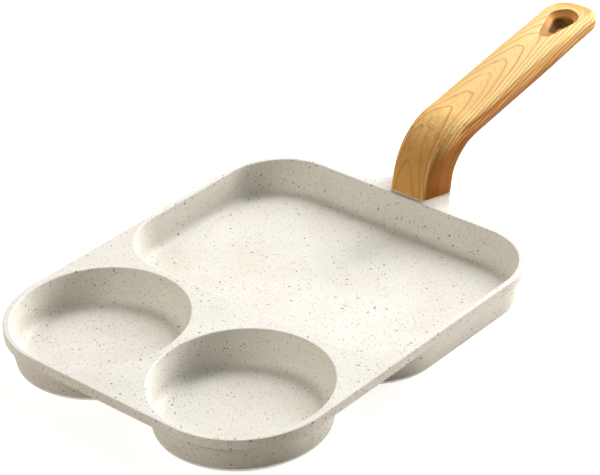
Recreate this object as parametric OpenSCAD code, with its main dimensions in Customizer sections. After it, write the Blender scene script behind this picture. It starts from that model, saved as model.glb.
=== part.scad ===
// Divided frying pan. One casting holds two round wells and a rectangular compartment side by side,
// and a bent wooden handle stands on a lug behind the compartment, held by one screw from below.
// The origin is the centre of the compartment's underside, on the surface that the pan stands on.
// X runs across the pan, +Y points along the handle and +Z points up.

/* [Casting] */
// Width of the pan over its rim
pan_w = 192; // [184:1:204]
// Height of the rim above the surface that the pan stands on
pan_h = 21.5; // [19:0.5:28]
// Length of the compartment's opening, along the handle
tray_l = 130.6; // [110:0.2:150]
// Radius of the compartment's corners at the rim
tray_r = 35; // [25:1:45]
// Radius of a round well at the rim
well_r = 45; // [41:0.5:45.5]
// Metal between the two round wells at the rim
well_gap = 4.4; // [4:0.2:6]
// Metal between the round wells and the compartment at the rim
deck_gap = 5; // [4.6:0.2:12]
// Width of the rim in front of the round wells
front_rim = 3; // [2.6:0.1:6]
// Width of the rim round the compartment
tray_rim = 3; // [2.6:0.1:6]

/* [Walls] */
// Slope of every wall from upright, in degrees
draft = 9.3; // [5:0.1:12]
// Thickness of the walls, measured level
wall = 2.1; // [1.8:0.1:2.3]
// Thickness of the floors
floor_t = 3.3; // [2.6:0.1:5]
// Thickness of the deck between the hollows
deck_t = 3; // [2.4:0.1:4.5]
// Radius between a wall and its floor
floor_r = 5; // [3:0.5:8]
// Radius of the rolled lip round each hollow
lip_r = 0.9; // [0.5:0.1:1.1]
// Height of the band round the rim
band_h = 5.5; // [4.6:0.1:8]
// Thickness of the band round the rim
band_t = 2.4; // [2.2:0.1:2.6]
// Radius of the band's upper edge
band_top_r = 0.8; // [0.4:0.1:1]
// Radius of the band's lower edge
band_low_r = 0.5; // [0.2:0.1:0.8]
// Height of the turned chamfer round each base
base_chamfer = 0.9; // [0.5:0.1:1.5]

/* [Lug] */
// Slope of the handle's foot, down towards the lug's end, in degrees
seat_slope = 12.5; // [8:0.1:16]
// Height of the foot's centre below the rim
seat_drop = 1.8; // [1:0.1:3]
// Width of the sloping seat cut into the lug
seat_w = 25; // [24:0.5:30]
// Slope of the seat's sides from upright, in degrees
seat_flare = 62; // [30:1:70]
// Height of the plinth that lifts the foot off the seat
plinth_h = 0.5; // [0.3:0.1:1.2]
// Distance of the plinth's sides inside the foot's outline
plinth_inset = 0.8; // [0.6:0.1:2]
// Spread of the lug's flanks, in width for each millimetre of length
flank_spread = 0.75; // [0.6:0.01:0.9]
// Width of the lug at its end, where its flanks would meet the end
lug_end_w = 23.2; // [22:0.2:28]
// Radius of the hollow between each flank and the rim
lug_root_r = 12; // [8:0.5:20]
// Radius of the corners at the lug's end
lug_end_r = 4; // [3:0.5:6]
// Distance that the lug's end stays inside the handle's back
lug_inset = 1.2; // [0.4:0.1:2]
// Width of the thick tongue under the seat
tongue_w = 25; // [22:0.5:28]
// Thickness of the tongue, square to the foot
tongue_t = 10; // [9.8:0.1:12]
// Width of the spigot that keys the handle
spigot_w = 12; // [10:0.5:14]
// Length of the spigot, along the pan
spigot_l = 13; // [10:0.5:16]
// Height of the spigot above the plinth
spigot_h = 5; // [3:0.5:7]
// Radius of the upright corners of the plinth and the spigot
spigot_r = 2; // [1:0.5:3]

/* [Handle] */
// Distance of the handle's foot from the compartment's opening
foot_back = 1.8; // [1.6:0.1:6]
// Width of the handle at its foot
foot_w = 23.3; // [22:0.1:27]
// Depth of the handle at its foot
foot_d = 25.8; // [22:0.1:28]
// Length of the straight stem above the foot
stem_l = 8.1; // [4:0.1:20]
// Radius of the bend, at the middle of the handle
bend_r = 29.4; // [24:0.1:45]
// Rise of the grip from level, in degrees
grip_slope = 9.7; // [4:0.1:25]
// Length of the grip, from the bend to the tip
grip_l = 123; // [105:1:150]
// Width of the grip in its middle
grip_w = 28.8; // [24:0.1:30]
// Height of the grip above its middle line
grip_top = 6.9; // [5:0.1:9]
// Depth of the grip under its middle line
grip_under = 11.6; // [9:0.1:14]
// Width of the handle's end
end_w = 33.8; // [29:0.1:36]
// Height of the handle's end above its middle line
end_top = 3.6; // [3:0.1:5]
// Depth of the handle's end under its middle line
end_under = 7; // [5:0.1:8]
// Length over which the tip is rounded in plan
tip_l = 14.1; // [12:0.1:18]
// Length over which the tip is rounded in thickness
tip_edge_l = 9.5; // [8:0.1:10]
// Squareness of the section at the foot, where 2 is an ellipse
foot_square = 9.4; // [6:0.1:12]
// Squareness of the grip's upper half in its middle
grip_top_square = 4.5; // [3:0.1:6]
// Squareness of the grip's under half in its middle
grip_under_square = 2.65; // [2:0.05:4]
// Squareness of the end's upper half
end_top_square = 3.3; // [2.5:0.1:5]
// Squareness of the end's under half
end_under_square = 2.5; // [2:0.1:4]

/* [Hanging hole] */
// Distance of the hole's mouth from the handle's tip
hole_end = 10.4; // [10:0.1:18]
// Radius of the mouth's wide end
mouth_big_r = 8.8; // [8:0.1:9.5]
// Radius of the mouth's narrow end
mouth_small_r = 4.2; // [3.5:0.1:5]
// Distance between the centres of the mouth's two ends
mouth_span = 18; // [14:0.5:22]
// Radius of the throat's wide end
throat_big_r = 6.2; // [5:0.1:7]
// Radius of the throat's narrow end
throat_small_r = 3.2; // [2:0.1:4]
// Distance between the centres of the throat's two ends
throat_span = 10.4; // [8:0.2:13]
// Depth of the dished lip between the mouth and the throat
hole_lip = 3; // [1:0.1:3.4]
// Bow of the lip, where 1 is a straight slope and less is a deeper dish
lip_bow = 0.8; // [0.5:0.05:1]
// Radius of the wide end where the hole leaves the under face
under_big_r = 3.6; // [3:0.1:6]
// Radius of the narrow end where the hole leaves the under face
under_small_r = 2.5; // [2:0.1:4]
// Distance between the centres of the two ends at the under face
under_span = 3.4; // [2:0.1:10]
// Radius of the rounded edge at the under face
under_lip = 1; // [0.4:0.1:1.6]

/* [Fastening] */
// Diameter of the screw's shank
screw_d = 5; // [4:0.5:6]
// Length of the screw under its head
screw_l = 25; // [22:1:27]
// Diameter of the screw's head
head_d = 9; // [8:0.5:10]
// Height of the screw's head
head_h = 3; // [2.4:0.1:3.4]
// Radius of the head's rounded edge
head_r = 1.4; // [0.5:0.1:2]
// Length of the cross in the screw's head
drive_l = 4.8; // [3.5:0.1:6]
// Width of each arm of the cross
drive_w = 1.1; // [0.8:0.1:1.6]
// Depth of the cross
drive_depth = 1.8; // [1:0.1:2.2]
// Thickness of the flat washer
flat_t = 1; // [0.6:0.1:1.2]
// Diameter of the flat washer
flat_d = 10; // [9.5:0.5:11]
// Thickness of the spring washer
spring_t = 1.2; // [0.8:0.1:1.4]
// Width of the slit in the spring washer
slit = 0.8; // [0.5:0.1:1.5]
// Thickness of the lug that the washers bear on
seat_t = 4.5; // [3.5:0.1:5.5]
// Diameter of the threaded insert
insert_d = 8; // [7.5:0.5:9]
// Length of the threaded insert
insert_l = 13; // [10:0.5:14]
// Width of each groove round the insert
insert_groove = 1.2; // [0.8:0.1:1.6]

/* [Clearances] */
// Clearance of the spigot in its socket, on each side
spigot_fit = 0.3; // [0.2:0.05:0.6]
// Clearance of the screw in the lug, all round
screw_fit = 0.3; // [0.2:0.05:0.5]
// Clearance of the screw in the insert, all round
thread_fit = 0.05; // [0.03:0.01:0.1]
// Clearance of the insert in the handle, all round
insert_fit = 0.04; // [0.02:0.01:0.08]
// Clearance of the washers and the head in their recess, all round
recess_fit = 0.6; // [0.4:0.1:1]
// Length of free bore beyond the screw and the insert
bore_end = 1; // [0.5:0.5:2]

/* [Hidden] */
$fn = 96;
// Margin by which a cutting solid runs past the face that it cuts
past = 1;

// The rim's outline, from the sizes of the hollows inside it
tray_x = pan_w / 2 - tray_rim;
tray_y = tray_l / 2;
front_r = well_r + front_rim;
back_r = tray_r + tray_rim;
well_x = well_r + well_gap / 2;
well_y = -tray_y - deck_gap - well_r;
front_corner_x = pan_w / 2 - front_r;
corner_x = tray_x - tray_r;
corner_y = tray_y - tray_r;
front_y = well_y - front_r;
back_y = tray_y + tray_rim;
depth = pan_h - floor_t;
lean = tan(draft);

// The seat's centre, and the frame of everything that stands square to it
seat_z = pan_h - seat_drop;
seat_y = tray_y + foot_back + foot_d / 2 * cos(seat_slope);
lug_end_y = round(10 * (seat_y + foot_d / 2 * cos(seat_slope) - lug_inset)) / 10;

// The lug's right flank: its outward direction, its distance from the middle of the compartment,
// and the centres of the hollow at its root and of the corner at its end
flank_slope = atan(flank_spread);
flank_out = [cos(flank_slope), sin(flank_slope)];
flank_far = [lug_end_w / 2, lug_end_y] * flank_out;
root_y = back_y + lug_root_r;
root_x = (flank_far + lug_root_r - root_y * flank_out[1]) / flank_out[0];
tip_y = lug_end_y - lug_end_r;
tip_x = (flank_far - lug_end_r - tip_y * flank_out[1]) / flank_out[0];

// The washers and the screw, down from the seat
flat_z = -seat_t - flat_t;
spring_z = flat_z - spring_t;
head_z = spring_z - head_h;
screw_tip_z = spring_z + screw_l;
insert_z = spigot_h + spigot_fit;
recess_d = max(flat_d, head_d) + 2 * recess_fit;

// The handle's middle line: a straight stem, a bend and a straight grip
stem_angle = 90 - seat_slope;
bend_angle = stem_angle - grip_slope;
bend_l = bend_r * bend_angle * PI / 180;
handle_l = stem_l + bend_l + grip_l;
// Sides of a ring of the handle, and rings along its stem, its bend, its grip and its tip
ring_n = 48;
stem_rings = 3;
bend_rings = 14;
grip_rings = 16;
tip_rings = 12;
tip_start = handle_l - tip_l;
// Share of the tip that the flat at its very end takes off
tip_flat = 0.012;

function ease(x) = let (u = min(max(x, 0), 1)) u * u * (3 - 2 * u);
function bent(s) = min(max(s - stem_l, 0), bend_l) / bend_l;
function line_angle(s) = stem_angle - bend_angle * bent(s);
// Point of the middle line at the distance s from the foot, as [y, z]
function line_point(s) =
    let (a = line_angle(s), stem = min(s, stem_l), grip = max(s - stem_l - bend_l, 0))
    [seat_y + stem * cos(stem_angle) + bend_r * (sin(stem_angle) - sin(a)) + grip * cos(a),
     seat_z + stem * sin(stem_angle) + bend_r * (cos(a) - cos(stem_angle)) + grip * sin(a)];
function to_grip(s) = ease(s / (stem_l + bend_l + stem_l));
function to_end(s) = ease((s - handle_l + grip_l / 2) / (grip_l / 2));
// A size of the handle at s, from its values at the foot, along the grip and at the end
function along(s, foot, grip, end) = foot + (grip - foot) * to_grip(s) + (end - grip) * to_end(s);
function tip_scale(s, l) = sqrt(max(1 - pow(max(s - handle_l + l, 0) / l, 2), 0));
function half_w(s) = along(s, foot_w, grip_w, end_w) / 2 * tip_scale(s, tip_l);
// Each half of the section, above the middle line and under it, is [height, squareness]
function top_half(s) = [along(s, foot_d / 2, grip_top, end_top) * tip_scale(s, tip_edge_l),
                        along(s, foot_square, grip_top_square, end_top_square)];
function under_half(s) = [along(s, foot_d / 2, grip_under, end_under) * tip_scale(s, tip_edge_l),
                          along(s, foot_square, grip_under_square, end_under_square)];
function rounded(c, n) = sign(c) * pow(abs(c), 2 / n);
// Ring of the handle at the distance s from the foot
function handle_ring(s) =
    let (p = line_point(s), a = line_angle(s))
    [for (k = [0 : ring_n - 1])
        let (half = 2 * k < ring_n ? top_half(s) : under_half(s),
             x = half_w(s) * rounded(cos(360 * k / ring_n), half[1]),
             t = half[0] * rounded(sin(360 * k / ring_n), half[1]))
        [x, p[0] - t * sin(a), p[1] + t * cos(a)]];
function stations() = concat(
    [for (i = [0 : stem_rings - 1]) stem_l * i / stem_rings],
    [for (i = [0 : bend_rings - 1]) stem_l + bend_l * i / bend_rings],
    [for (i = [0 : grip_rings - 1]) stem_l + bend_l + (grip_l - tip_l) * i / grip_rings],
    [for (i = [0 : tip_rings]) tip_start + tip_l * (1 - tip_flat) * sin(90 * i / tip_rings)]);

// Faces of a solid made of rings with n points each, closed by its first and last ring
function ring_faces(rings, n) = concat(
    [[for (k = [n - 1 : -1 : 0]) k]],
    [for (i = [0 : rings - 2], k = [0 : n - 1])
        let (a = i * n + k, b = i * n + (k + 1) % n) [a, b, b + n, a + n]],
    [[for (k = [0 : n - 1]) (rings - 1) * n + k]]);

// The hanging hole, in a frame on the middle line at the centre of its wide end
hole_s = handle_l - hole_end - mouth_big_r;
egg_n = 24;
lip_rings = 6;
// An outline of the hole, [radius of its wide end, radius of its narrow end, distance between them]
mouth = [mouth_big_r, mouth_small_r, mouth_span];
throat = [throat_big_r, throat_small_r, throat_span];
under = [under_big_r, under_small_r, under_span];
// The points of an outline, with +y to the tip
function egg(o) =
    let (t = asin((o[0] - o[1]) / o[2]))
    concat(
        [for (k = [0 : egg_n]) let (a = -t + (180 + 2 * t) * k / egg_n) o[0] * [cos(a), sin(a)]],
        [for (k = [0 : egg_n]) let (a = 180 + t + (180 - 2 * t) * k / egg_n)
            [0, -o[2]] + o[1] * [cos(a), sin(a)]]);
// Levels down the hole, each [side of the handle, height over that side's face, outline]
function hole_levels() = concat(
    [[1, past, mouth]],
    [for (i = [0 : lip_rings]) let (u = i / lip_rings)
        [1, -hole_lip * pow(u, lip_bow), mouth + (throat - mouth) * u]],
    [for (i = [0 : lip_rings]) let (a = 90 * i / lip_rings)
        [-1, under_lip * (sin(a) - 1), under + under_lip * (1 - cos(a)) * [1, 1, 0]]],
    [[-1, past, under + under_lip * [1, 1, 0]]]);
// Height of the handle's face over or under a point of the hole
function face_t(p, half) = half[0] * pow(1 - pow(abs(p[0]) / half_w(hole_s + p[1]), half[1]), 1 / half[1]);
function hole_rings() = [for (level = hole_levels(), p = egg(level[2]))
    let (s = hole_s + p[1], half = level[0] > 0 ? top_half(s) : under_half(s))
    [p[0], p[1], level[0] * (face_t(p, half) + level[1])]];

// Half of the outline of a hollow, from its axis: drafted wall, rounded floor corner, rolled lip
module hollow_section(top_r) {
    reach = (1 - sin(draft)) / cos(draft);
    floor_x = top_r - depth * lean - floor_r * reach;
    lip_x = top_r + lip_r * reach;
    polygon([[0, 0], [floor_x, 0], [floor_x + floor_r * cos(draft), floor_r * (1 - sin(draft))],
             [top_r, depth], [lip_x, depth], [lip_x, depth + past], [0, depth + past]]);
    translate([floor_x, floor_r]) circle(floor_r);
    difference() {
        polygon([[top_r, depth], [lip_x - lip_r * cos(draft), depth - lip_r * (1 - sin(draft))],
                 [lip_x, depth - lip_r], [lip_x, depth]]);
        translate([lip_x, depth - lip_r]) circle(lip_r);
    }
}

// Half of the outline of a cup's outside, from its axis, up into the deck
module cup_section(top_r) {
    top_z = pan_h - deck_t / 2;
    low_x = top_r + wall - pan_h * lean;
    polygon([[0, 0], [low_x - base_chamfer, 0], [low_x + base_chamfer * lean, base_chamfer],
             [low_x + top_z * lean, top_z], [0, top_z]]);
}

// Section of the band round the rim, outwards from its outer face, which is at zero
module band_section() {
    difference() {
        translate([-band_t, -band_h]) square([band_t, band_h]);
        translate([-band_top_r, -band_top_r]) square(band_top_r + past);
        translate([-band_low_r, -band_h - past]) square([band_low_r + past, band_low_r + past]);
    }
    translate([-band_top_r, -band_top_r]) circle(band_top_r);
    translate([-band_low_r, -band_h + band_low_r]) circle(band_low_r);
}

// A quarter turn of a section round a corner whose centre is at [x, y], in the quarter of angle
module corner(x, y, angle) {
    translate([x, y, 0]) rotate([0, 0, angle]) rotate_extrude(angle = 90) children();
}

// A straight run of a section from [x, y], with its outer side to the right of its heading
module run(x, y, heading, length) {
    translate([x, y, 0]) rotate([0, 0, heading]) rotate([90, 0, 90]) linear_extrude(length)
        mirror([1, 0]) children();
}

// A section carried round the compartment, with the middle filled from the height low to high
module round_tray(low, high) {
    corner(corner_x, corner_y, 0) children();
    corner(-corner_x, corner_y, 90) children();
    corner(-corner_x, -corner_y, 180) children();
    corner(corner_x, -corner_y, 270) children();
    run(corner_x, -corner_y, 90, 2 * corner_y) children();
    run(corner_x, corner_y, 180, 2 * corner_x) children();
    run(-corner_x, corner_y, 270, 2 * corner_y) children();
    run(-corner_x, -corner_y, 0, 2 * corner_x) children();
    translate([-corner_x, -corner_y, low]) cube([2 * corner_x, 2 * corner_y, high - low]);
}

// The band round the rim
module rim_band() {
    translate([0, 0, pan_h]) {
        corner(corner_x, corner_y, 0) translate([back_r, 0]) band_section();
        corner(-corner_x, corner_y, 90) translate([back_r, 0]) band_section();
        corner(-front_corner_x, well_y, 180) translate([front_r, 0]) band_section();
        corner(front_corner_x, well_y, 270) translate([front_r, 0]) band_section();
        run(pan_w / 2, well_y, 90, corner_y - well_y) band_section();
        run(corner_x, back_y, 180, corner_x - root_x) band_section();
        run(-root_x, back_y, 180, corner_x - root_x) band_section();
        run(-pan_w / 2, corner_y, 270, corner_y - well_y) band_section();
        run(-front_corner_x, front_y, 0, 2 * front_corner_x) band_section();
    }
}

// The deck inside the band
module deck() {
    inset = band_t / 2;
    translate([0, 0, pan_h - deck_t]) linear_extrude(deck_t) {
        for (side = [-1, 1]) {
            translate([side * front_corner_x, well_y]) circle(front_r - inset);
            translate([side * corner_x, corner_y]) circle(back_r - inset);
        }
        translate([-front_corner_x, front_y + inset]) square([2 * front_corner_x, front_r]);
        translate([-corner_x, corner_y]) square([2 * corner_x, back_r - inset]);
        translate([inset - pan_w / 2, well_y]) square([pan_w - 2 * inset, corner_y - well_y]);
    }
}

// Places something on the seat, with +Z square to it
module on_seat() {
    translate([0, seat_y, seat_z]) rotate([-seat_slope, 0, 0]) children();
}

// Plan of the lug inside its outline by the amount i: straight flanks, hollow roots, round corners
module lug_plan(i) {
    root = [root_x, root_y] - (lug_root_r + i) * flank_out;
    tip = [tip_x, tip_y] + (lug_end_r - i) * flank_out;
    end_y = lug_end_y - i;
    low_y = back_y - band_t;
    difference() {
        union() {
            polygon([[root_x, low_y], [root_x, back_y - i], root, tip, [tip_x, end_y], [-tip_x, end_y],
                     [-tip[0], tip[1]], [-root[0], root[1]], [-root_x, back_y - i], [-root_x, low_y]]);
            for (side = [-1, 1]) translate([side * tip_x, tip_y]) circle(lug_end_r - i);
        }
        for (side = [-1, 1]) translate([side * root_x, root_y]) circle(lug_root_r + i);
    }
}

// The rim's band carried on round the lug
module lug_band() {
    root = [root_x, root_y] - lug_root_r * flank_out;
    flank_l = norm([tip_x, tip_y] + lug_end_r * flank_out - root);
    reach = lug_root_r + lug_end_r;
    translate([0, 0, pan_h]) {
        for (side = [0, 1]) mirror([side, 0, 0]) {
            intersection() {
                corner(root_x, root_y, 180) translate([lug_root_r, 0]) mirror([1, 0]) band_section();
                translate([root_x, root_y, -2 * band_h]) rotate([0, 0, flank_slope])
                    translate([-2 * reach, -2 * reach, 0]) cube([4 * reach, 2 * reach, 3 * band_h]);
            }
            run(root[0], root[1], 90 + flank_slope, flank_l) band_section();
            intersection() {
                corner(tip_x, tip_y, 0) translate([lug_end_r, 0]) band_section();
                translate([tip_x, tip_y, -2 * band_h]) rotate([0, 0, flank_slope])
                    translate([-2 * reach, 0, 0]) cube([4 * reach, 2 * reach, 3 * band_h]);
            }
        }
        run(tip_x, lug_end_y, 180, 2 * tip_x) band_section();
    }
}

// An upright block with rounded corners, centred on the axis
module block(w, l, h, r) {
    linear_extrude(h) {
        square([w, l - 2 * r], center = true);
        square([w - 2 * r, l], center = true);
        for (x = [-1, 1], y = [-1, 1]) translate([x * (w / 2 - r), y * (l / 2 - r)]) circle(r);
    }
}

// The lug: level wings inside the band, a thick sloping tongue, the plinth and the spigot
module lug() {
    reach = foot_d + seat_w;
    flare = reach * tan(seat_flare);
    difference() {
        union() {
            lug_band();
            translate([0, 0, pan_h - deck_t]) linear_extrude(deck_t) lug_plan(band_t / 2);
            linear_extrude(pan_h - band_h / 2) intersection() {
                lug_plan(band_low_r);
                square([tongue_w, 4 * reach], center = true);
            }
        }
        on_seat() translate([0, reach, -plinth_h]) rotate([90, 0, 0]) linear_extrude(2 * reach)
            polygon([[-seat_w / 2, 0], [seat_w / 2, 0], [seat_w / 2 + flare, reach], [-seat_w / 2 - flare, reach]]);
        on_seat() translate([-reach, -reach, -tongue_t - reach]) cube([2 * reach, 2 * reach, reach]);
    }
    on_seat() {
        translate([0, 0, -plinth_h - deck_t / 2])
            block(foot_w - 2 * plinth_inset, foot_d - 2 * plinth_inset, plinth_h + deck_t / 2, spigot_r);
        translate([0, 0, -seat_t]) block(spigot_w, spigot_l, seat_t + spigot_h, spigot_r);
    }
}

module pan_body() {
    color([0.86, 0.84, 0.79]) difference() {
        union() {
            rim_band();
            deck();
            for (side = [-1, 1]) translate([side * well_x, well_y, 0])
                rotate_extrude() cup_section(well_r);
            round_tray(0, pan_h - deck_t / 2) cup_section(tray_r);
            lug();
        }
        for (side = [-1, 1]) translate([side * well_x, well_y, floor_t])
            rotate_extrude() hollow_section(well_r);
        translate([0, 0, floor_t]) round_tray(0, depth + past) hollow_section(tray_r);
        on_seat() translate([0, 0, -tongue_t - seat_t]) {
            cylinder(d = screw_d + 2 * screw_fit, h = tongue_t + seat_t + spigot_h + past);
            cylinder(d = recess_d, h = tongue_t);
        }
    }
}

module handle() {
    rings = stations();
    color([0.83, 0.62, 0.36]) difference() {
        polyhedron([for (s = rings) each handle_ring(s)], ring_faces(len(rings), ring_n), 4);
        translate([0, line_point(hole_s)[0], line_point(hole_s)[1]]) rotate([grip_slope, 0, 0])
            polyhedron(hole_rings(), ring_faces(len(hole_levels()), 2 * egg_n + 2), 4);
        on_seat() {
            translate([0, 0, -past])
                block(spigot_w + 2 * spigot_fit, spigot_l + 2 * spigot_fit, insert_z + past, spigot_r + spigot_fit);
            cylinder(d = insert_d + 2 * insert_fit, h = insert_z + insert_l);
            cylinder(d = screw_d + 2 * screw_fit, h = max(screw_tip_z, insert_z + insert_l) + bore_end);
        }
    }
}

module handle_insert() {
    band = (insert_l - 2 * insert_groove) / 3;
    color([0.78, 0.63, 0.32]) on_seat() translate([0, 0, insert_z]) difference() {
        cylinder(d = insert_d, h = insert_l);
        translate([0, 0, -past]) cylinder(d = screw_d + 2 * thread_fit, h = insert_l + 2 * past);
        for (i = [0, 1]) translate([0, 0, band + i * (band + insert_groove)]) difference() {
            cylinder(d = insert_d + past, h = insert_groove);
            cylinder(d = insert_d - insert_groove, h = insert_groove);
        }
    }
}

module handle_screw() {
    color([0.7, 0.71, 0.73]) on_seat() translate([0, 0, spring_z]) {
        translate([0, 0, -head_h]) difference() {
            rotate_extrude() {
                square([head_d / 2 - head_r, head_h]);
                translate([0, head_r]) square([head_d / 2, head_h - head_r]);
                translate([head_d / 2 - head_r, head_r]) circle(head_r);
            }
            for (turn = [0, 90]) rotate([0, 0, turn]) translate([-drive_l / 2, -drive_w / 2, -past])
                cube([drive_l, drive_w, drive_depth + past]);
        }
        cylinder(d = screw_d, h = screw_l);
    }
}

module spring_washer() {
    color([0.62, 0.63, 0.65]) on_seat() translate([0, 0, spring_z]) difference() {
        cylinder(d = head_d, h = spring_t);
        translate([0, 0, -past]) cylinder(d = screw_d + 2 * screw_fit, h = spring_t + 2 * past);
        translate([-slit / 2, 0, -past]) cube([slit, head_d, spring_t + 2 * past]);
    }
}

module flat_washer() {
    color([0.72, 0.73, 0.75]) on_seat() translate([0, 0, flat_z]) difference() {
        cylinder(d = flat_d, h = flat_t);
        translate([0, 0, -past]) cylinder(d = screw_d + 2 * screw_fit, h = flat_t + 2 * past);
    }
}

pan_body();
handle();
handle_insert();
handle_screw();
spring_washer();
flat_washer();
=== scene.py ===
import math

import bmesh
import bpy
import numpy as np
from mathutils import Matrix, Vector


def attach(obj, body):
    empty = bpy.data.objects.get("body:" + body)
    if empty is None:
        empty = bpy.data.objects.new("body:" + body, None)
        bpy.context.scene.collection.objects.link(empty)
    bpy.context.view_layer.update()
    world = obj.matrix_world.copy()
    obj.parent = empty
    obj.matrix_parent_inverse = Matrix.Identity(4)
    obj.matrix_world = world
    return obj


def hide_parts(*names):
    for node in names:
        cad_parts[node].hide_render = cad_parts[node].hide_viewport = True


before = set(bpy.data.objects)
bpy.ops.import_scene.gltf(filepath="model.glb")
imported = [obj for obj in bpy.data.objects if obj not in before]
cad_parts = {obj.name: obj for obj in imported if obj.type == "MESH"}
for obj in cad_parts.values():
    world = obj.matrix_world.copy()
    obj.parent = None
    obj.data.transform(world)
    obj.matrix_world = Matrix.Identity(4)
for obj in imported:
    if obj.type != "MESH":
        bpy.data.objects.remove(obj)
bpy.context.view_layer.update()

MM = 0.001

# The pan: one casting of aluminium with two round wells, a compartment and the handle's lug.
# It is sprayed with a cream coating full of fine dark specks and fired, and then its three bases
# are turned flat, which leaves bright metal with fine rings round each base's middle.
WELL_MIDDLE = (47.2, -115.3)
WELLS_END = -67.8
BASE_EDGE, BASE_EDGE_BLUR = 2.1, 0.05
RING_PITCH = 0.42
# The cell that holds one speck, and the radii of the smallest and the largest speck
DUST, FINE_SPECKS, COARSE_SPECKS = (0.85, 0.16, 0.38), (1.6, 0.22, 0.54), (3.2, 0.32, 0.8)
SPECK_CORE, FEW_LARGE, WEAKEST = 0.55, 3.0, 0.4
DUST_COVERS, FINE_COVERS, BAND_SHADE_COVERS = 0.65, 0.85, 0.7
# Heights at which the painted shade in the corner under the band begins and ends
BAND_SHADE_IN, BAND_SHADE_OUT = (13.9, 14.7), (16.1, 16.4)
# A wall counts as an outer one by how far out from its base's middle it lies and looks
OUTER_WALL = (5.0, 15.0)
COATING_ROUGH, METAL_SMOOTHER = (0.47, 0.57), -0.32
PEEL_RELIEF, SPECK_RELIEF, RING_RELIEF = 0.5, 0.25, 0.6


def shade(red, green, blue):
    """A colour as seen on a screen, from 0 to 255, as the renderer's own values."""
    linear = []
    for part in (red, green, blue):
        part = part / 255
        linear.append(part / 12.92 if part <= 0.04045 else ((part + 0.055) / 1.055) ** 2.4)
    return (*linear, 1)


def finish_of(name):
    """An empty material, its nodes and its surface shader."""
    made = bpy.data.materials.new(name)
    made.use_nodes = True
    return made, made.node_tree, made.node_tree.nodes["Principled BSDF"]


def put(tree, kind, inputs=(), **settings):
    """A node with its settings, and its inputs as values or as other nodes' outputs."""
    made = tree.nodes.new(kind)
    for name, value in settings.items():
        setattr(made, name, value)
    for name, value in dict(inputs).items():
        if isinstance(value, bpy.types.NodeSocket):
            tree.links.new(value, made.inputs[name])
        else:
            made.inputs[name].default_value = value
    return made


def calc(tree, operation, first, second=0.0, third=0.0):
    inputs = {0: first, 1: second, 2: third}
    return put(tree, "ShaderNodeMath", inputs, operation=operation).outputs[0]


def times(tree, first, *others):
    """Values multiplied together, each of them a number or a node's output."""
    for other in others:
        first = calc(tree, "MULTIPLY", first, other)
    return first


def spread(tree, value, low, high):
    """A value from 0 to 1, spread evenly from low to high."""
    return calc(tree, "MULTIPLY_ADD", value, high - low, low)


def step(tree, value, low, high, out_low=0.0, out_high=1.0):
    """A smooth rise from one level to another as a value goes from low to high."""
    inputs = {"Value": value, "From Min": low, "From Max": high, "To Min": out_low, "To Max": out_high}
    return put(tree, "ShaderNodeMapRange", inputs, interpolation_type="SMOOTHSTEP").outputs["Result"]


def fade(tree, value, low, high):
    """A smooth fall from 1 to 0 as a value goes from low to high."""
    return step(tree, value, low, high, 1.0, 0.0)


def between(tree, value, edge_in, edge_out):
    """1 in a band of a value and 0 outside it. Its two soft edges are pairs of levels."""
    return times(tree, step(tree, value, *edge_in), fade(tree, value, *edge_out))


def blend_paint(tree, share, first, second):
    """A colour between two: the first where the share is 0 and the second where it is 1."""
    inputs = {0: share, 6: first, 7: second}
    return put(tree, "ShaderNodeMix", inputs, data_type="RGBA").outputs[2]


def two_tones(tree, value, margin, low_colour, high_colour):
    """A colour that changes evenly with a value, apart from a margin at each end of its range."""
    made = put(tree, "ShaderNodeValToRGB", {"Fac": value})
    low_key, high_key = made.color_ramp.elements
    low_key.position, high_key.position = margin, 1 - margin
    low_key.color, high_key.color = low_colour, high_colour
    return made.outputs["Color"]


def place_in_mm(tree):
    """Each point's place in the object, in millimetres."""
    metres = put(tree, "ShaderNodeTexCoord").outputs["Object"]
    return put(tree, "ShaderNodeVectorMath", {0: metres, "Scale": 1 / MM}, operation="SCALE").outputs[0]


def add_relief(tree, shader, height, strength, depth):
    """Bump on the surface, for relief of a depth in millimetres."""
    bump = put(tree, "ShaderNodeBump", {"Height": height, "Strength": strength, "Distance": depth * MM})
    tree.links.new(bump.outputs["Normal"], shader.inputs["Normal"])


def dress(piece, material):
    piece.data.materials.clear()
    piece.data.materials.append(material)


def specks(tree, place, size, smallest, largest):
    """Dots of many sizes, one in each cell of a given size in millimetres."""
    cells = put(tree, "ShaderNodeTexVoronoi", {"Vector": place, "Scale": 1 / size, "Randomness": 1.0})
    luck = put(tree, "ShaderNodeSeparateColor", {"Color": cells.outputs["Color"]})
    reach = calc(tree, "POWER", luck.outputs["Red"], FEW_LARGE)
    reach = calc(tree, "MULTIPLY_ADD", reach, (largest - smallest) / size, smallest / size)
    core = times(tree, reach, SPECK_CORE)
    edge = put(tree, "ShaderNodeMapRange", {"Value": cells.outputs["Distance"], "From Min": core,
                                            "From Max": reach, "To Min": 1.0, "To Max": 0.0})
    strength = spread(tree, luck.outputs["Green"], WEAKEST, 1.0)
    return times(tree, edge.outputs["Result"], strength)


coating, tree, shader = finish_of("speckled_coating")
place = place_in_mm(tree)
xyz = put(tree, "ShaderNodeSeparateXYZ", {0: place})
clouds = put(tree, "ShaderNodeTexNoise", {"Vector": place, "Scale": 0.035, "Detail": 3.0})
cream = two_tones(tree, clouds.outputs["Fac"], 0.3, shade(224, 219, 208), shade(231, 228, 220))
dust = specks(tree, place, *DUST)
fine = specks(tree, place, *FINE_SPECKS)
coarse = specks(tree, place, *COARSE_SPECKS)
cream = blend_paint(tree, times(tree, dust, DUST_COVERS), cream, shade(122, 110, 87))
cream = blend_paint(tree, times(tree, fine, FINE_COVERS), cream, shade(88, 77, 57))
cream = blend_paint(tree, coarse, cream, shade(44, 37, 28))
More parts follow.
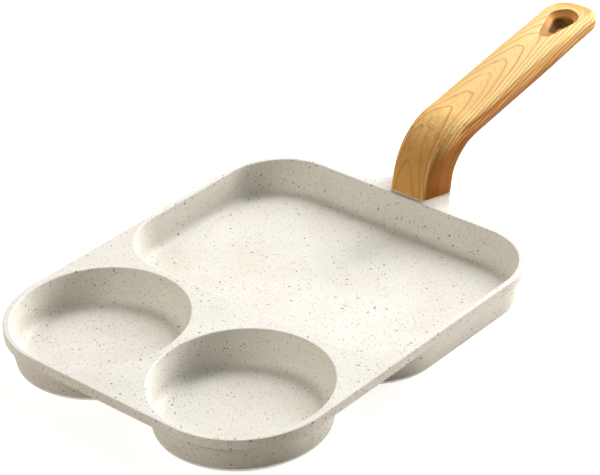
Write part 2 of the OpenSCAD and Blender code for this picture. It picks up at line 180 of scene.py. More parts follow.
# The turned bases: rings round the middle of the base that each point belongs to
in_well = calc(tree, "LESS_THAN", xyz.outputs["Y"], WELLS_END)
from_x = calc(tree, "ABSOLUTE", xyz.outputs["X"])
from_x = calc(tree, "SUBTRACT", from_x, times(tree, in_well, WELL_MIDDLE[0]))
from_y = calc(tree, "SUBTRACT", xyz.outputs["Y"], times(tree, in_well, WELL_MIDDLE[1]))
away = calc(tree, "ADD", calc(tree, "POWER", from_x, 2.0), calc(tree, "POWER", from_y, 2.0))
away = calc(tree, "SQRT", away)
rings = calc(tree, "SINE", times(tree, away, 2 * math.pi / RING_PITCH))
bare = fade(tree, xyz.outputs["Z"], BASE_EDGE - BASE_EDGE_BLUR, BASE_EDGE + BASE_EDGE_BLUR)
metal = blend_paint(tree, step(tree, rings, -1, 1), shade(164, 162, 157), shade(188, 186, 182))
# Painted shade: the coating is painted darker in the corner under the band, where the band shades it, on
# the bowls' outer walls only
facing = put(tree, "ShaderNodeSeparateXYZ", {0: put(tree, "ShaderNodeTexCoord").outputs["Normal"]})
looks_out = times(tree, calc(tree, "SIGN", xyz.outputs["X"]), facing.outputs["X"], from_x)
looks_out = calc(tree, "MULTIPLY_ADD", facing.outputs["Y"], from_y, looks_out)
band_shade = between(tree, xyz.outputs["Z"], BAND_SHADE_IN, BAND_SHADE_OUT)
band_shade = times(tree, band_shade, step(tree, looks_out, *OUTER_WALL))
cream = blend_paint(tree, times(tree, band_shade, BAND_SHADE_COVERS), cream, shade(112, 102, 88))
tree.links.new(blend_paint(tree, bare, cream, metal), shader.inputs["Base Color"])
tree.links.new(bare, shader.inputs["Metallic"])
peel = put(tree, "ShaderNodeTexNoise", {"Vector": place, "Scale": 0.9, "Detail": 2.0}).outputs["Fac"]
rough = spread(tree, peel, *COATING_ROUGH)
tree.links.new(calc(tree, "MULTIPLY_ADD", bare, METAL_SMOOTHER, rough), shader.inputs["Roughness"])
relief = calc(tree, "ADD", times(tree, peel, PEEL_RELIEF), times(tree, coarse, SPECK_RELIEF))
relief = calc(tree, "ADD", relief, times(tree, rings, bare, RING_RELIEF))
add_relief(tree, shader, relief, strength=0.35, depth=0.03)
shader.inputs["Specular IOR Level"].default_value = 0.4
dress(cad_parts["pan_body"], coating)

# The flat washer and the spring washer: two thin rings of steel in the recess under the lug.
# The flat one is stamped and bears on the casting, and the split one keeps the screw tight.
steel, tree, shader = finish_of("plain_steel")
cloudy = {"Vector": place_in_mm(tree), "Scale": 2.2, "Detail": 5.0, "Distortion": 1.5}
cloudy = put(tree, "ShaderNodeTexNoise", cloudy).outputs["Fac"]
steel_colour = two_tones(tree, cloudy, 0.3, shade(168, 170, 173), shade(205, 206, 208))
tree.links.new(steel_colour, shader.inputs["Base Color"])
tree.links.new(spread(tree, cloudy, 0.2, 0.4), shader.inputs["Roughness"])
shader.inputs["Metallic"].default_value = 1.0
add_relief(tree, shader, cloudy, strength=0.2, depth=0.02)
for name in ("flat_washer", "spring_washer"):
    dress(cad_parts[name], steel)

# The screw: a 5 mm steel machine screw with a rounded head and a cross in it.
# Its thread is rolled, with a pitch of 0.8 mm, and it goes up through the lug into the handle.
SCREW_R = 2.5
SCREW_LENGTH = 25
SCREW_PITCH = 0.8
THREAD_DEPTH, THREAD_FIT, THREAD_START = 0.42, 0.02, 0.6
END_CHAMFER = 0.7
HEAD_R = 4.5
HEAD_HEIGHT = 3
HEAD_ROUND = 1.4
# The middle of the casting's seat, which carries the handle's foot, and a height up from it, square to it
SEAT = (0, 79.694, 19.7)
SEAT_SLOPE = 12.5
UNDER_HEAD = -6.7
# The cross's length, the width of its arms, its depth, and its spread at its mouth and its bottom
CROSS_LENGTH, CROSS_ARM, CROSS_DEPTH = 4.8, 1.1, 1.8
CROSS_MOUTH, CROSS_BOTTOM = 1.1, 0.75
CUTTER_PAST = 1
POINTS_ROUND, STEPS_OF_HEAD, STEPS_OF_PITCH = 48, 8, 8


def add_object(name, data):
    made = bpy.data.objects.new(name, data)
    bpy.context.scene.collection.objects.link(made)
    return made


def ring_piece(name, rings):
    """A closed mesh of rings with the same number of points each, in millimetres."""
    rings = np.asarray(rings, float)
    count, around = rings.shape[:2]
    points = rings.reshape(-1, 3) * MM
    faces = []
    for i in range(count - 1):
        for k in range(around):
            a = i * around + k
            b = i * around + (k + 1) % around
            faces.append((a, b, b + around, a + around))
    faces.append(tuple(range(around - 1, -1, -1)))
    faces.append(tuple(range((count - 1) * around, count * around)))
    mesh = bpy.data.meshes.new(name)
    mesh.from_pydata([tuple(p) for p in points], [], faces)
    work = bmesh.new()
    work.from_mesh(mesh)
    bmesh.ops.recalc_face_normals(work, faces=work.faces)
    work.to_mesh(mesh)
    work.free()
    return add_object(name, mesh)


def soften(piece, degrees):
    """Smooth shading everywhere but across edges that are sharper than an angle."""
    piece.data.shade_smooth()
    piece.data.set_sharp_from_angle(angle=math.radians(degrees))


def cut_away(piece, cutter):
    """Takes the cutter's shape out of a piece, for good."""
    carve = piece.modifiers.new("cut", "BOOLEAN")
    carve.operation = "DIFFERENCE"
    carve.solver = "EXACT"
    carve.object = cutter
    view = bpy.context.evaluated_depsgraph_get()
    carved = bpy.data.meshes.new_from_object(piece.evaluated_get(view))
    piece.modifiers.clear()
    piece.data = carved
    bpy.data.objects.remove(cutter)


def round_ring(radius, height):
    angles = np.linspace(0, 2 * math.pi, POINTS_ROUND, endpoint=False)
    return [(radius * math.cos(a), radius * math.sin(a), height) for a in angles]


def thread_ring(up):
    """A ring of the shank at a height above the underside of the head."""
    cut_share = min(1, max(0, up - THREAD_START)) * min(1, max(0, SCREW_LENGTH - up))
    chamfer = max(0, END_CHAMFER - (SCREW_LENGTH - up))
    ring = []
    for a in np.linspace(0, 2 * math.pi, POINTS_ROUND, endpoint=False):
        phase = (up / SCREW_PITCH + a / (2 * math.pi)) % 1
        groove = THREAD_DEPTH * (1 - abs(2 * phase - 1)) * cut_share
        radius = SCREW_R - THREAD_FIT - groove - chamfer
        ring.append((radius * math.cos(a), radius * math.sin(a), UNDER_HEAD + up))
    return ring


screw_rings = []
for k in range(STEPS_OF_HEAD + 1):
    bend = math.pi / 2 * k / STEPS_OF_HEAD
    screw_rings.append(round_ring(HEAD_R - HEAD_ROUND + HEAD_ROUND * math.sin(bend),
                                  UNDER_HEAD - HEAD_HEIGHT + HEAD_ROUND * (1 - math.cos(bend))))
screw_rings.append(round_ring(HEAD_R, UNDER_HEAD))
thread_heights = np.arange(0.0, SCREW_LENGTH + 0.01, SCREW_PITCH / STEPS_OF_PITCH)
screw_rings += [thread_ring(up) for up in thread_heights]
screw = ring_piece("screw", screw_rings)
half_arm = CROSS_ARM / 2
quarter = [(half_arm, half_arm), (half_arm, CROSS_LENGTH / 2), (-half_arm, CROSS_LENGTH / 2)]
cross_outline = []
for _ in range(4):
    cross_outline += quarter
    quarter = [(-y, x) for x, y in quarter]
head_face = UNDER_HEAD - HEAD_HEIGHT
cross_ends = ((head_face - CUTTER_PAST, CROSS_MOUTH), (head_face + CROSS_DEPTH, CROSS_BOTTOM))
cut_away(screw, ring_piece("cross", [[(x * s, y * s, z) for x, y in cross_outline] for z, s in cross_ends]))
lean = Matrix.Translation(Vector(SEAT) * MM) @ Matrix.Rotation(math.radians(-SEAT_SLOPE), 4, "X")
screw.data.transform(lean)
soften(screw, 30)
dress(screw, steel)
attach(screw, "root")
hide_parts("handle_screw")

# The insert: a turned brass bush with two grooves, pressed into the handle's foot while it is warm.
# The screw's thread bites in it, and its knurled bands keep it from turning in the handle.
brass, tree, shader = finish_of("turned_brass")
knurl = {"Vector": place_in_mm(tree), "Scale": 0.9, "Distortion": 0.4, "Detail": 1.0}
knurl = put(tree, "ShaderNodeTexWave", knurl, wave_type="BANDS", bands_direction="DIAGONAL").outputs["Fac"]
brass_colour = two_tones(tree, knurl, 0.2, shade(170, 132, 62), shade(214, 178, 98))
tree.links.new(brass_colour, shader.inputs["Base Color"])
shader.inputs["Metallic"].default_value = 1.0
shader.inputs["Roughness"].default_value = 0.3
add_relief(tree, shader, knurl, strength=0.4, depth=0.1)
dress(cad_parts["handle_insert"], brass)

# The handle: one piece of pale pine grain under a thin satin lacquer, square at its foot and
# rounded underneath along its grip. It is shaped round a middle line of a short stem, a bend and a
# long straight grip, and its hanging hole is dished on the upper face and narrows on its way down.
FOOT_WIDTH, FOOT_DEPTH, FOOT_SQUARE = 23.3, 25.8, 9.4
STEM_LENGTH, BEND_R, GRIP_SLOPE, GRIP_LENGTH = 8.1, 29.4, 9.7, 123
GRIP_WIDTH, GRIP_TOP, GRIP_UNDER = 28.8, 6.9, 11.6
END_WIDTH, END_TOP, END_UNDER = 33.8, 3.59, 7
GRIP_TOP_SQUARE, GRIP_UNDER_SQUARE = 4.5, 2.65
END_TOP_SQUARE, END_UNDER_SQUARE = 3.3, 2.5
TIP_LENGTH, TIP_EDGE_LENGTH = 14.1, 9.5
STEM_RINGS, BEND_RINGS, GRIP_RINGS, TIP_RINGS, RING_POINTS = 8, 44, 90, 40, 144
# The last ring lies a little before the tip, where the section would shrink to a point
LAST_RING = 0.9985
# The hanging hole: its distance from the tip, and how it is turned and set aside
HOLE_END, HOLE_TURN, HOLE_ASIDE = 10.4, 6.0, 0.5
# Its outline at three heights: the radii of its wide and its narrow end, and the distance between them
MOUTH, THROAT, UNDER_MOUTH = (8.8, 4.2, 18), (6.2, 3.2, 10.4), (3.6, 2.5, 3.4)
LIP_DEPTH, LIP_BOW, EDGE_ROUND, UNDER_ROUND = 3, 0.8, 0.5, 1
EDGE_STEPS, LIP_STEPS, UNDER_STEPS, EGG_STEPS, SOCKET_STEPS = 6, 16, 8, 48, 4
HOLE_PAST = 1.2
SOCKET_WIDTH, SOCKET_LENGTH, SOCKET_DEPTH, SOCKET_ROUND = 12.6, 13.6, 5.3, 2.3
# Radius and height of each ring of the bore, which is wide round the insert and narrow round the screw
BORE = ((4.04, 5), (4.04, 18.3), (2.8, 18.35), (2.8, 19.4))

stem_angle = math.radians(90 - SEAT_SLOPE)
grip_angle = math.radians(GRIP_SLOPE)
bend_length = BEND_R * (stem_angle - grip_angle)
grip_start = STEM_LENGTH + bend_length
handle_length = grip_start + GRIP_LENGTH
tip_start = handle_length - TIP_LENGTH
bend_middle = (SEAT[1] + STEM_LENGTH * math.cos(stem_angle) + BEND_R * math.sin(stem_angle),
               SEAT[2] + STEM_LENGTH * math.sin(stem_angle) - BEND_R * math.cos(stem_angle))


def on_line(s):
    """The middle line's point and heading at a distance from the foot."""
    angle = stem_angle - min(max(s - STEM_LENGTH, 0), bend_length) / BEND_R
    before, after = min(s - STEM_LENGTH, 0), max(s - grip_start, 0)
    y = bend_middle[0] - BEND_R * math.sin(angle) + (before + after) * math.cos(angle)
    z = bend_middle[1] + BEND_R * math.cos(angle) + (before + after) * math.sin(angle)
    return y, z, angle


def ease(value):
    value = min(max(value, 0), 1)
    return value * value * (3 - 2 * value)


def along(s, foot, grip, end):
    """A size that changes from the foot to the grip, and on to the end."""
    to_grip = ease(s / (2 * STEM_LENGTH + bend_length))
    to_end = ease((s - handle_length + GRIP_LENGTH / 2) / (GRIP_LENGTH / 2))
    return foot + (grip - foot) * to_grip + (end - grip) * to_end


def tip_share(s, length):
    """The share of its size that a section still has on its way to the tip."""
    return math.sqrt(max(1 - (max(s - handle_length + length, 0) / length) ** 2, 0))


def half_width_at(s):
    return along(s, FOOT_WIDTH, GRIP_WIDTH, END_WIDTH) / 2 * tip_share(s, TIP_LENGTH)


def half_at(s, upper):
    """Height and squareness of the section's upper or under half."""
    edge = tip_share(s, TIP_EDGE_LENGTH)
    if upper:
        return (along(s, FOOT_DEPTH / 2, GRIP_TOP, END_TOP) * edge,
                along(s, FOOT_SQUARE, GRIP_TOP_SQUARE, END_TOP_SQUARE))
    return (along(s, FOOT_DEPTH / 2, GRIP_UNDER, END_UNDER) * edge,
            along(s, FOOT_SQUARE, GRIP_UNDER_SQUARE, END_UNDER_SQUARE))


def handle_ring(s):
    """The handle's section at a distance from the foot, square to the middle line."""
    y, z, angle = on_line(s)
    wide = half_width_at(s)
    ring = []
    for k in range(RING_POINTS):
        around = 2 * math.pi * k / RING_POINTS
        c, n = math.cos(around), math.sin(around)
        high, square = half_at(s, n >= 0)
        reach = (abs(c) ** square + abs(n) ** square) ** (-1 / square)
        t = high * reach * n
        ring.append((wide * reach * c, y - t * math.sin(angle), z + t * math.cos(angle)))
    return ring


stations = [STEM_LENGTH * k / STEM_RINGS for k in range(STEM_RINGS)]
stations += [STEM_LENGTH + bend_length * k / BEND_RINGS for k in range(BEND_RINGS)]
stations += [grip_start + (GRIP_LENGTH - TIP_LENGTH) * k / GRIP_RINGS for k in range(GRIP_RINGS)]
stations += [tip_start + TIP_LENGTH * math.sin(math.pi / 2 * k / TIP_RINGS) * LAST_RING
             for k in range(TIP_RINGS + 1)]
handle = ring_piece("handle_grip", [handle_ring(s) for s in stations])

hole_at = handle_length - HOLE_END - MOUTH[0]


def egg(outline):
    """An egg's outline, with its wide end round the origin and its narrow end below."""
    wide_end, narrow_end, span = outline
    tilt = math.asin((wide_end - narrow_end) / span)
    points = []
    for k in range(EGG_STEPS + 1):
        a = -tilt + (math.pi + 2 * tilt) * k / EGG_STEPS
        points.append((wide_end * math.cos(a), wide_end * math.sin(a)))
    for k in range(EGG_STEPS + 1):
        a = math.pi + tilt + (math.pi - 2 * tilt) * k / EGG_STEPS
        points.append((narrow_end * math.cos(a), narrow_end * math.sin(a) - span))
    return points


def turned(x, y):
    """A point of the hole's outline as it lies in the handle, which is a little off the middle line."""
    a = math.radians(HOLE_TURN)
    return (HOLE_ASIDE + x * math.cos(a) - y * math.sin(a), x * math.sin(a) + y * math.cos(a))


def face_at(x, y, upper):
    """How far the upper or the under face lies from the middle line at a point near the hole."""
    high, square = half_at(hole_at + y, upper)
    return high * (1 - min(abs(x) / half_width_at(hole_at + y), 1) ** square) ** (1 / square)


mouth, throat, under_mouth = np.array(MOUTH, float), np.array(THROAT, float), np.array(UNDER_MOUTH, float)
wider = np.array((1.0, 1.0, 0.0))
# Each level of the hole: whether it goes by the upper face, its distance outside it, and its outline
levels = [(True, HOLE_PAST, mouth + EDGE_ROUND * wider)]
for k in range(EDGE_STEPS + 1):
    a = math.pi / 2 * k / EDGE_STEPS
    levels.append((True, -EDGE_ROUND * (1 - math.cos(a)), mouth + EDGE_ROUND * (1 - math.sin(a)) * wider))
for k in range(1, LIP_STEPS + 1):
    share = k / LIP_STEPS
    sunk = EDGE_ROUND + (LIP_DEPTH - EDGE_ROUND) * share ** LIP_BOW
    levels.append((True, -sunk, mouth + (throat - mouth) * share))
for k in range(UNDER_STEPS + 1):
    a = math.pi / 2 * k / UNDER_STEPS
    levels.append((False, UNDER_ROUND * (math.sin(a) - 1),
                   under_mouth + UNDER_ROUND * (1 - math.cos(a)) * wider))
levels.append((False, HOLE_PAST, under_mouth + UNDER_ROUND * wider))
hole_rings = []
for upper, outside, outline in levels:
    ring = []
    for x, y in [turned(*point) for point in egg(outline)]:
        t = (face_at(x, y, upper) + outside) * (1 if upper else -1)
        ring.append((x, y * math.cos(grip_angle) - t * math.sin(grip_angle),
                     y * math.sin(grip_angle) + t * math.cos(grip_angle)))
    hole_rings.append(ring)
hole = ring_piece("hole", hole_rings)
line_y, line_z, _ = on_line(hole_at)
hole.data.transform(Matrix.Translation(Vector((0, line_y, line_z)) * MM))
cut_away(handle, hole)

# The socket for the casting's spigot and the bore for the insert and the screw, from below
socket_outline = []
for x_side, y_side, start in ((1, 1, 0), (-1, 1, 90), (-1, -1, 180), (1, -1, 270)):
    for k in range(SOCKET_STEPS + 1):
        a = math.radians(start + 90 * k / SOCKET_STEPS)
        socket_outline.append((x_side * (SOCKET_WIDTH / 2 - SOCKET_ROUND) + SOCKET_ROUND * math.cos(a),
                               y_side * (SOCKET_LENGTH / 2 - SOCKET_ROUND) + SOCKET_ROUND * math.sin(a)))
socket_ends = (-CUTTER_PAST, SOCKET_DEPTH)
socket = ring_piece("socket", [[(x, y, z) for x, y in socket_outline] for z in socket_ends])
bore = ring_piece("bore", [round_ring(radius, height) for radius, height in BORE])
for cutter in (socket, bore):
    cutter.data.transform(lean)
    cut_away(handle, cutter)

# Each point's place in the wood: across, along the handle, and over the middle line. Its place in the
# grain is the distance out from the middle of the upper face, along the handle, and down. The grain
# runs along the handle's sides and comes round its end.
points = np.zeros(len(handle.data.vertices) * 3)
handle.data.vertices.foreach_get("co", points)
points = points.reshape(-1, 3) / MM
out_y, out_z = points[:, 1] - bend_middle[0], points[:, 2] - bend_middle[1]
heading = np.clip(np.arctan2(-out_y, out_z), grip_angle, stem_angle)
run = STEM_LENGTH + BEND_R * (stem_angle - heading) + out_y * np.cos(heading) + out_z * np.sin(heading)
over = -out_y * np.sin(heading) + out_z * np.cos(heading) - BEND_R
into_tip = np.maximum(run - tip_start, 0) / TIP_LENGTH
top = np.array([half_at(min(s, tip_start), True)[0] for s in run])
down = np.maximum(top - over, 0)
out = np.hypot(points[:, 0], into_tip * END_WIDTH / 2) + down
for name, values in (("wood_place", (points[:, 0], run, over)),
                     ("grain_place", (out, np.minimum(run, tip_start), down))):
    layer = handle.data.attributes.new(name, "FLOAT_VECTOR", "POINT")
    layer.data.foreach_set("vector", np.stack(values, 1).astype(np.float32).ravel())
soften(handle, 35)

# The grain: the length of its arches, how round their heads are, and its lines for each mm aside
ARCH_LENGTH, ARCH_ROUND, SIDE_LINES = 16.0, 10.0, 0.46
FAINTEST_LINE = 0.4
# How far the arches wander aside in all, and on which side they lie on average
WANDER, LEAN_ASIDE = 6.0, 1.5
# Down the handle's sides, and before its tip, the arches stop wandering
WANDER_ENDS_DOWN, WANDER_ENDS_ALONG = (4.0, 13.0), (tip_start - 6, tip_start + 2)
# The rougher grain of the bend, and tones along the handle, by the distance from the foot
BEND_IN, BEND_OUT, BEND_DRIFT = (12.0, 24.0), (34.0, 48.0), 0.8
FOOT_TONE, TIP_TONE, PALE_LOWER = (17.0, 36.0), (18.0, 140.0), (110.0, 150.0)
# Where each face of the section takes over from the one above, by the distance out
SIDE_FACE, LOWER_FACE, UNDER_FACE = (10.5, 15.0), (15.5, 20.5), (21.0, 26.0)
# Where the painted highlight along the foot's edge between the upper face and the sides lies, by the
# distance out
ARRIS_HIGHLIGHT_IN, ARRIS_HIGHLIGHT_OUT = (9.0, 10.8), (11.4, 13.0)
DARK_FLANK, STREAKED_FLANK = (11.0, 20.0), (13.5, 18.5)
# How strongly the lines and the streaks cover the wood, on the upper face and on the flanks
YEAR_LINES_COVER, THIN_LINES_COVER, STREAKS_COVER = (0.68, 0.76), (0.2, 0.32), (0.03, 0.71)
PATCHES_COVER, FLECKS_COVER, CUT_COVERS, FIBRES_COVER = 0.35, 0.42, 0.85, 0.2
# The inside of the hanging hole: from the upper face down, aside, and along the handle. Its cut wood is
# painted lighter towards the wide end, as painted light, and darker deep down, as painted shade
CUT_TOP, CUT_BOTTOM, CUT_ASIDE = (0.15, 0.7), (9.2, 10.0), (10.2, 11.2)
CUT_START, CUT_PAINTED_LIGHT, CUT_PAINTED_SHADE = (hole_at - 26, hole_at - 24), (hole_at - 16, hole_at), (2.8, 5.0)
WOOD_ROUGH, FIBRE_RELIEF, LINE_RELIEF = (0.34, 0.46), 0.6, -0.3
pine, tree, shader = finish_of("pine_grain")
wood_place = put(tree, "ShaderNodeAttribute", attribute_name="wood_place").outputs["Vector"]
wood_xyz = put(tree, "ShaderNodeSeparateXYZ", {0: wood_place})
across, length = wood_xyz.outputs["X"], wood_xyz.outputs["Y"]
grain_place = put(tree, "ShaderNodeAttribute", attribute_name="grain_place").outputs["Vector"]
grain_xyz = put(tree, "ShaderNodeSeparateXYZ", {0: grain_place})
distance_out, along_grain, depth = grain_xyz.outputs["X"], grain_xyz.outputs["Y"], grain_xyz.outputs["Z"]


def stretched(scale_across, scale_along, detail, shift):
    """Noise drawn out along the wood, with its scales in cycles for each millimetre."""
    inputs = {"Vector": wood_place, "Scale": (scale_across, scale_along, scale_across),
              "Location": (shift, shift, shift)}
    moved = put(tree, "ShaderNodeMapping", inputs).outputs[0]
    return put(tree, "ShaderNodeTexNoise", {"Vector": moved, "Scale": 1.0, "Detail": detail}).outputs["Fac"]


# The bend, the side of the middle line as 1 or -1, and where the arches may wander from that line
near_bend = between(tree, length, BEND_IN, BEND_OUT)
hand = spread(tree, calc(tree, "GREATER_THAN", across, 0.0), -1.0, 1.0)
free_share = times(tree, fade(tree, depth, *WANDER_ENDS_DOWN), fade(tree, length, *WANDER_ENDS_ALONG))


def grain_lines(count, drift_share, soft, sharp):
    """Thin lines in arches: count of them to a year, and how wide each fades on its two sides in mm."""
    wander = spread(tree, stretched(0.05, 0.014, detail=1.0, shift=count), -WANDER / 2, WANDER / 2)
    aside = times(tree, calc(tree, "ADD", wander, LEAN_ASIDE), free_share)
    off = calc(tree, "ABSOLUTE", calc(tree, "ADD", times(tree, distance_out, hand), aside))
    reach = calc(tree, "SQRT", calc(tree, "MULTIPLY_ADD", off, off, ARCH_ROUND ** 2))
    bent = calc(tree, "MULTIPLY_ADD", reach, SIDE_LINES, -SIDE_LINES * ARCH_ROUND)
    climb = calc(tree, "ADD", calc(tree, "DIVIDE", along_grain, ARCH_LENGTH), bent)
    drift_share = calc(tree, "MULTIPLY_ADD", near_bend, BEND_DRIFT, drift_share)
    drift = spread(tree, stretched(0.16, 0.03, detail=2.0, shift=7.0 + count), -0.5, 0.5)
    climb = calc(tree, "ADD", climb, times(tree, drift, drift_share))
    lines_passed = times(tree, climb, count)
    slope = calc(tree, "DIVIDE", off, reach)
    slope = calc(tree, "MULTIPLY_ADD", slope, count * SIDE_LINES, count / ARCH_LENGTH)
    part = calc(tree, "FRACT", lines_passed)
    before = fade(tree, calc(tree, "DIVIDE", calc(tree, "SUBTRACT", 1.0, part), slope), 0.0, soft)
    after = fade(tree, calc(tree, "DIVIDE", part, slope), 0.0, sharp)
    luck = calc(tree, "FLOOR", lines_passed)
    luck = put(tree, "ShaderNodeTexWhiteNoise", {"W": luck}, noise_dimensions="1D").outputs["Value"]
    strength = spread(tree, luck, FAINTEST_LINE, 1.0)
    return times(tree, calc(tree, "MAXIMUM", before, after), strength)


year_lines = grain_lines(count=1.0, drift_share=0.7, soft=1.3, sharp=0.35)
thin_lines = grain_lines(count=3.0, drift_share=0.9, soft=0.8, sharp=0.3)
fibre = stretched(1.6, 0.05, detail=4.0, shift=3.0)
patches = stretched(0.07, 0.02, detail=2.0, shift=11.0)
streaks = stretched(0.42, 0.011, detail=3.0, shift=21.0)
flecks = stretched(0.9, 0.34, detail=3.0, shift=31.0)
# The wood between the lines, painted face by face from the upper one down, with other tones in the foot.
# The faces' tones are partly painted shade: the under face is painted darker, and in the foot the side and
# lower faces are too
in_foot = fade(tree, length, *FOOT_TONE)
upper = blend_paint(tree, step(tree, length, *TIP_TONE), shade(240, 196, 128), shade(249, 219, 156))
patch_share = times(tree, step(tree, patches, 0.4, 0.65), PATCHES_COVER)
upper = blend_paint(tree, patch_share, upper, shade(238, 192, 126))
upper = blend_paint(tree, in_foot, upper, shade(214, 160, 88))
side = blend_paint(tree, in_foot, shade(255, 222, 150), shade(126, 80, 12))
lower = blend_paint(tree, in_foot, shade(234, 182, 108), shade(138, 88, 20))
lower = blend_paint(tree, step(tree, length, *PALE_LOWER), lower, shade(248, 204, 136))
under = blend_paint(tree, in_foot, shade(138, 96, 38), shade(158, 108, 42))
wood = blend_paint(tree, step(tree, distance_out, *SIDE_FACE), upper, side)
wood = blend_paint(tree, step(tree, distance_out, *LOWER_FACE), wood, lower)
wood = blend_paint(tree, step(tree, distance_out, *UNDER_FACE), wood, under)
# A painted highlight along the foot's edge between the upper face and the sides
arris_highlight = times(tree, between(tree, distance_out, ARRIS_HIGHLIGHT_IN, ARRIS_HIGHLIGHT_OUT), in_foot)
wood = blend_paint(tree, arris_highlight, wood, shade(244, 196, 126))
# The lines, which are darker on the flanks, and then streaks, flecks, the hole's inside and fibres
flank = step(tree, distance_out, *DARK_FLANK)
dark = blend_paint(tree, flank, shade(172, 112, 52), shade(132, 62, 8))
year_covers = spread(tree, flank, *YEAR_LINES_COVER)
thin_covers = spread(tree, flank, *THIN_LINES_COVER)
wood = blend_paint(tree, times(tree, year_lines, year_covers), wood, dark)
wood = blend_paint(tree, times(tree, thin_lines, thin_covers), wood, dark)
streak_covers = spread(tree, step(tree, distance_out, *STREAKED_FLANK), *STREAKS_COVER)
streak_covers = times(tree, step(tree, streaks, 0.5, 0.62), streak_covers)
wood = blend_paint(tree, streak_covers, wood, shade(138, 66, 18))
fleck_share = times(tree, step(tree, flecks, 0.48, 0.66), near_bend, FLECKS_COVER)
wood = blend_paint(tree, fleck_share, wood, shade(160, 104, 48))
in_hole = between(tree, depth, CUT_TOP, CUT_BOTTOM)
in_hole = times(tree, in_hole, fade(tree, calc(tree, "ABSOLUTE", across), *CUT_ASIDE))
in_hole = times(tree, in_hole, step(tree, length, *CUT_START))
# The hole's inside: the brown of cut wood, with painted light towards the wide end and painted shade deep
# down
hole_wood_and_shade = blend_paint(tree, step(tree, length, *CUT_PAINTED_LIGHT), shade(146, 96, 40), shade(218, 154, 76))
hole_wood_and_shade = blend_paint(tree, step(tree, depth, *CUT_PAINTED_SHADE), hole_wood_and_shade, shade(88, 60, 24))
wood = blend_paint(tree, times(tree, in_hole, CUT_COVERS), wood, hole_wood_and_shade)
fibre_share = times(tree, step(tree, fibre, 0.45, 0.75), FIBRES_COVER)
wood = blend_paint(tree, fibre_share, wood, shade(176, 116, 52))
tree.links.new(wood, shader.inputs["Base Color"])
tree.links.new(spread(tree, fibre, *WOOD_ROUGH), shader.inputs["Roughness"])
shader.inputs["Specular IOR Level"].default_value = 0.06
relief = calc(tree, "ADD", times(tree, fibre, FIBRE_RELIEF), times(tree, year_lines, LINE_RELIEF))
add_relief(tree, shader, relief, strength=0.3, depth=0.05)
dress(handle, pine)
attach(handle, "root")
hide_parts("handle")

# The table: a pale floor without an edge, which keeps the pan's soft shadow.
# It glows for the camera and for reflections only, so that it looks white.
FLOOR_REACH, FLOOR_GLOW, FLOOR_COLOUR = 3, 0.8, (0.66, 0.6, 0.52, 1)
WHITE = (1, 1, 1, 1)


def seen_directly(tree):
    """1 for what the camera, a reflection or glass sees, and 0 for the light that falls on the part."""
    rays = put(tree, "ShaderNodeLightPath")
    seen = calc(tree, "MAXIMUM", rays.outputs["Is Camera Ray"], rays.outputs["Is Glossy Ray"])
    return calc(tree, "MAXIMUM", seen, rays.outputs["Is Transmission Ray"])


floor_mesh = bpy.data.meshes.new("floor")
floor_corners = [(x * FLOOR_REACH, y * FLOOR_REACH, 0) for x, y in ((-1, -1), (1, -1), (1, 1), (-1, 1))]
floor_mesh.from_pydata(floor_corners, [], [(0, 1, 2, 3)])
floor = add_object("floor", floor_mesh)
table, tree, shader = finish_of("pale_table")
tree.nodes.remove(shader)
matt = put(tree, "ShaderNodeBsdfDiffuse", {"Color": FLOOR_COLOUR})
glow = times(tree, seen_directly(tree), FLOOR_GLOW)
glow = put(tree, "ShaderNodeEmission", {"Color": WHITE, "Strength": glow})
both = put(tree, "ShaderNodeAddShader", {0: matt.outputs[0], 1: glow.outputs[0]})
tree.links.new(both.outputs[0], tree.nodes["Material Output"].inputs["Surface"])
dress(floor, table)

# The light: a white studio all round, and soft lamps mostly behind the pan and above it.
# The walls that face the camera get theirs from one weaker lamp and from the table.
LAMP_AWAY, LAMP_SIZE = 1.4, 0.5
STUDIO_SEEN, STUDIO_LIGHT = 1.0, 0.04
studio = bpy.data.worlds.new("studio")
bpy.context.scene.world = studio
studio.use_nodes = True
tree = studio.node_tree
sky = tree.nodes["Background"]
sky.inputs["Color"].default_value = WHITE
tree.links.new(spread(tree, seen_directly(tree), STUDIO_LIGHT, STUDIO_SEEN), sky.inputs["Strength"])


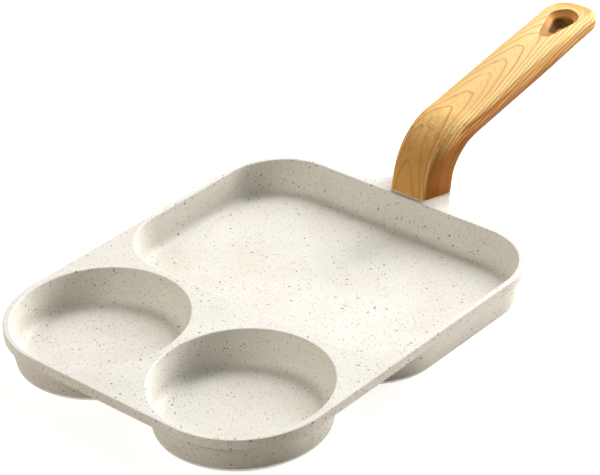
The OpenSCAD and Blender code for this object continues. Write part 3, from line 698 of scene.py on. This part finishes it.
def soft_lamp(name, turn, rise, watts, colour=(1, 1, 1)):
    """A square lamp that faces the pan, turned from the front to the right and raised, in degrees."""
    data = bpy.data.lights.new(name, "AREA")
    data.shape = "SQUARE"
    data.size = LAMP_SIZE
    data.energy = watts
    data.color = colour
    turn, rise = math.radians(turn), math.radians(rise)
    toward = Vector((math.sin(turn) * math.cos(rise), -math.cos(turn) * math.cos(rise), math.sin(rise)))
    lamp = add_object(name, data)
    lamp.location = LAMP_AWAY * toward
    lamp.rotation_euler = toward.to_track_quat("Z", "Y").to_euler()


soft_lamp("high_back", 180, 52, 8.1)
soft_lamp("back", 180, 32, 12.8)
soft_lamp("high_back_left", 210, 52, 5.2)
soft_lamp("low_back_right", 150, 12, 16.0)
soft_lamp("front_left", 335, 32, 7.5, (1.0, 0.95, 0.86))

# The camera: far off with a long lens, from the right of the front, looking down about 31 degrees.
# Its place and its three angles, in radians, and its lens were found from the photo's own edges.
CAMERA_AT = (0.709890, -0.788945, 0.662841)
CAMERA_TURN, CAMERA_RISE, CAMERA_ROLL = 0.7439980, 0.5385528, -0.0516567
LENS_MM, FILM_MM, NEAREST = 144.7005, 36, 0.05
back = Vector((math.sin(CAMERA_TURN) * math.cos(CAMERA_RISE),
               -math.cos(CAMERA_TURN) * math.cos(CAMERA_RISE), math.sin(CAMERA_RISE)))
level_right = Vector((math.cos(CAMERA_TURN), math.sin(CAMERA_TURN), 0))
level_up = back.cross(level_right)
right = math.cos(CAMERA_ROLL) * level_right + math.sin(CAMERA_ROLL) * level_up
up = math.cos(CAMERA_ROLL) * level_up - math.sin(CAMERA_ROLL) * level_right
lens = bpy.data.cameras.new("camera")
lens.lens = LENS_MM
lens.sensor_width = FILM_MM
lens.sensor_fit = "HORIZONTAL"
lens.clip_start = NEAREST
camera = add_object("camera", lens)
camera.matrix_world = Matrix((right, up, back)).transposed().to_4x4()
camera.location = CAMERA_AT
bpy.context.scene.camera = camera
bpy.context.scene.view_settings.view_transform = "Standard"
